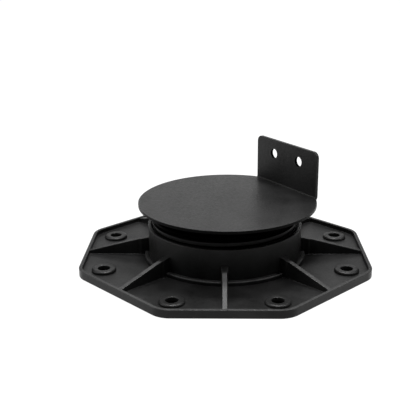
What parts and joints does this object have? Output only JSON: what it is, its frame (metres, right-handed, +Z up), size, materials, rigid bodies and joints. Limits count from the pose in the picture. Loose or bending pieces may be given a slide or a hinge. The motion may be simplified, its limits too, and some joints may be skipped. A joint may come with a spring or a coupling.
{
  "type": "decking pedestal",
  "caption": "Adjustable black plastic pedestal for decking joists: octagonal foot with threaded collar, screw sleeve, and round top plate with an upright fixing lug",
  "frame": {"origin": "middle of the foot's underside", "axes": "+Z up along the screw's axis, X and Y square to the foot's sides; the lug stands to the back right"},
  "size_m": [0.2, 0.1964, 0.0759],
  "materials": {
    "foot_plastic": "matte moulded",
    "sleeve_plastic": "satin moulded",
    "plate_plastic": "fine grained"
  },
  "bodies": {
    "foot": {"foot_and_collar": "foot_plastic"},
    "sleeve": {"screw_sleeve": "sleeve_plastic"},
    "head": {"top_plate": "plate_plastic"}
  },
  "joints": [
    {"name": "head_height", "type": "slide", "parent": "foot", "child": "head", "axis": [0, 0, 1], "range_m": [-0.0128, 0.004]},
    {"name": "screw_turn", "type": "hinge", "parent": "head", "child": "sleeve", "pos_m": [0, 0, 0.027], "axis": [0, 0, 1], "range_deg": [-1152, 360]}
  ],
  "couplings": [
    {"joint": "screw_turn", "follows": "head_height", "rad_per_m": 1570.8}
  ]
}
